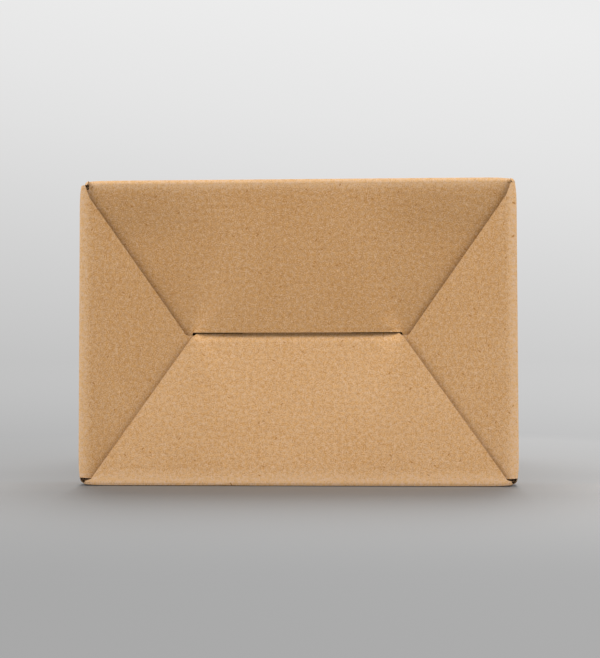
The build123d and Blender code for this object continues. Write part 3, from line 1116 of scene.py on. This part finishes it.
def floor_material():
    """Pale grey sweep that keeps the box's shadow, lifted beside and behind the box by painted light, and
    runs into the background further off, with painted shade towards the foreground.
    """
    material = bpy.data.materials.new("floor")
    graph = Graph(material)
    place = graph.add("ShaderNodeNewGeometry").outputs["Position"]
    parts = graph.add("ShaderNodeSeparateXYZ", {"Vector": place})
    across = parts.outputs["X"]
    along = parts.outputs["Y"]

    aside = graph.span(across, -FLOOR_ASIDE, FLOOR_ASIDE, 1 - FLOOR_TILT, 1 + FLOOR_TILT)
    grey = graph.span(along, BOTTOM, BOTTOM + FLOOR_RUN, FLOOR_FRONT_GREY, FLOOR_GREY)
    shader = graph.nodes["Principled BSDF"]
    graph.feed(shader.inputs["Base Color"], graph.math("MULTIPLY", grey, aside))
    shader.inputs["Roughness"].default_value = FLOOR_ROUGHNESS
    shader.inputs["Specular IOR Level"].default_value = FLOOR_SPECULAR

    distance = graph.add("ShaderNodeVectorMath", {0: place}, operation="LENGTH").outputs["Value"]
    bearing = graph.math("DIVIDE", across, graph.math("ADD", distance, NEAR_TILT))
    between = {0: place, 1: FOREGROUND}
    ahead = graph.add("ShaderNodeVectorMath", between, operation="DISTANCE").outputs["Value"]
    # Painted shade: the floor's background glow grows darker towards the foreground.
    spread = graph.square(graph.math("DIVIDE", ahead, FOREGROUND_SPREAD))
    painted_shade = graph.math("DIVIDE", FOREGROUND_PAINTED_SHADE, graph.math("ADD", spread, 1.0))
    level = graph.math("SUBTRACT", graph.math("MULTIPLY", bearing, BACKGROUND_TILT), painted_shade)
    far = graph.add("ShaderNodeEmission", {"Color": background_colour(graph, level)}).outputs["Emission"]

    past_side = graph.square(graph.past(across, WIDTH / 2))
    past_end = graph.square(graph.past(along, TOP))
    clear = graph.math("SQRT", graph.math("ADD", past_side, past_end))
    # Painted light: beside and behind the box the background's glow lifts the box's shadow.
    beside = graph.span(along, BOTTOM, BOTTOM + BESIDE_RUN, 0.0, BESIDE_SHARE)
    share = graph.math("MAXIMUM", graph.span(clear, FAR_START, FAR_END), beside)
    share = graph.math("MULTIPLY", share, seen_directly(graph))
    mixed = graph.add("ShaderNodeMixShader", {"Fac": share, 1: shader.outputs["BSDF"], 2: far})
    graph.feed(graph.nodes["Material Output"].inputs["Surface"], mixed.outputs["Shader"])
    return material


def make_floor():
    """Wide flat floor that the box lies on."""
    signs = ((-1, -1), (1, -1), (1, 1), (-1, 1))
    mesh = bpy.data.meshes.new("floor")
    mesh.from_pydata([(x * FLOOR_HALF, y * FLOOR_HALF, 0) for x, y in signs], [], [(0, 1, 2, 3)])
    mesh.materials.append(floor_material())
    obj = bpy.data.objects.new("floor", mesh)
    bpy.context.scene.collection.objects.link(obj)
    return obj


def studio_world():
    """Soft dome that is brighter overhead, and a pale grey background for what looks straight at it."""
    world = bpy.data.worlds.new("studio")
    graph = Graph(world)
    toward = graph.add("ShaderNodeTexCoord").outputs["Generated"]
    parts = graph.add("ShaderNodeSeparateXYZ", {"Vector": toward})
    height = parts.outputs["Z"]
    level = graph.math("ADD", height, graph.math("MULTIPLY", parts.outputs["X"], BACKGROUND_TILT))
    # A colour mix takes its two colours at inputs 6 and 7 and gives its result at output 2.
    colours = {
        "Factor": seen_directly(graph),
        6: graph.grey_ramp(height, DOME),
        7: background_colour(graph, level),
    }
    mixed = graph.add("ShaderNodeMix", colours, data_type="RGBA").outputs[2]
    graph.feed(graph.nodes["Background"].inputs["Color"], mixed)
    bpy.context.scene.world = world


def area_lamp(name, place, size, power, receivers):
    """Soft lamp, unseen itself, that faces the interlocked end and lights the given objects."""
    target = Vector((0, BOTTOM, HEIGHT / 2))
    data = bpy.data.lights.new(name, "AREA")
    data.shape = "RECTANGLE"
    data.size, data.size_y = size
    data.energy = power
    lamp = bpy.data.objects.new(name, data)
    lamp.location = place
    lamp.rotation_euler = (target - Vector(place)).to_track_quat("-Z", "Y").to_euler()
    lamp.visible_camera = False
    lamp.light_linking.receiver_collection = bpy.data.collections.new(name)
    for receiver in receivers:
        lamp.light_linking.receiver_collection.objects.link(receiver)
    bpy.context.scene.collection.objects.link(lamp)


def add_camera():
    """Camera at the photo's place, facing the interlocked end."""
    data = bpy.data.cameras.new("camera")
    data.sensor_fit = "HORIZONTAL"
    data.sensor_width = SENSOR_WIDTH
    data.lens = FOCAL_PIXELS / IMAGE_WIDTH * SENSOR_WIDTH
    data.clip_start = CLIP_START
    camera = bpy.data.objects.new("camera", data)
    camera.matrix_world = (
        Matrix.Translation(CAMERA_PLACE)
        @ Matrix.Rotation(CAMERA_YAW, 4, "Z")
        @ Matrix.Rotation(math.pi / 2 + CAMERA_PITCH, 4, "X")
        @ Matrix.Rotation(CAMERA_ROLL, 4, "Z")
    )
    bpy.context.scene.collection.objects.link(camera)
    bpy.context.scene.camera = camera


# Box and lid.
board_materials = [kraft_material(), raw_edge_material()]
box = folded_board("folded_box", box_outline(), box_columns(), box_rows(), fold_box, board_materials)
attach(box, "box")
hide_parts("box_body")

lid = folded_board("hinged_lid", lid_outline(), lid_columns(), lid_rows(), fold_lid, board_materials)
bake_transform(lid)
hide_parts("tuck_lid")

# Floor, light and camera.
floor = make_floor()
studio_world()
area_lamp(*FLOOR_LAMP, [floor])
for board_lamp in BOARD_LAMPS:
    area_lamp(*board_lamp, [box, lid])
add_camera()
bpy.context.scene.view_settings.view_transform = "Standard"
